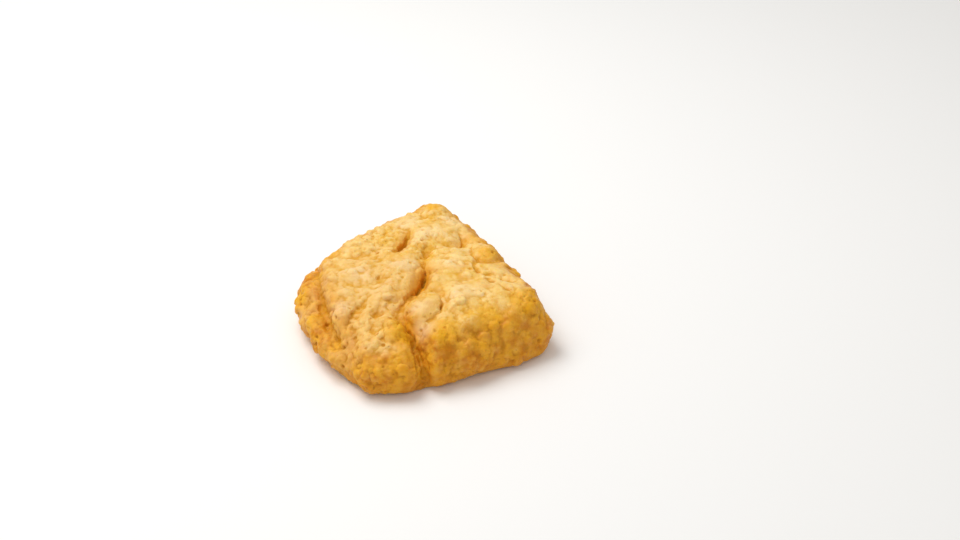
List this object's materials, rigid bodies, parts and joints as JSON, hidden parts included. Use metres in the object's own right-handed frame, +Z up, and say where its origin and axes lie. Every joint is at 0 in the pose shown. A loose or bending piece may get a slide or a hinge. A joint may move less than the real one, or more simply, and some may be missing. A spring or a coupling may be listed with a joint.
{
  "type": "battered and fried fish fillet",
  "caption": "Boneless white fish fillet in a soft golden fried batter: a blunt block with a flat underside, rounded shoulders, cracked lumpy top and one thin end.",
  "frame": {"origin": "middle of the fillet's bounding box, on the plane of the flat underside it rests on", "axes": "+Z up, away from the flat underside; +Y along the longer side, from the front face with the open end of the main crack to the back; +X from the thin end to the tall lobes"},
  "size_m": [0.0832, 0.0944, 0.0247],
  "materials": {
    "batter_crust": "soft fried batter, golden yellow with amber sides and cracks, slightly oily"
  },
  "bodies": {
    "root": {"fried_fish_fillet": "batter_crust"}
  },
  "joints": []
}
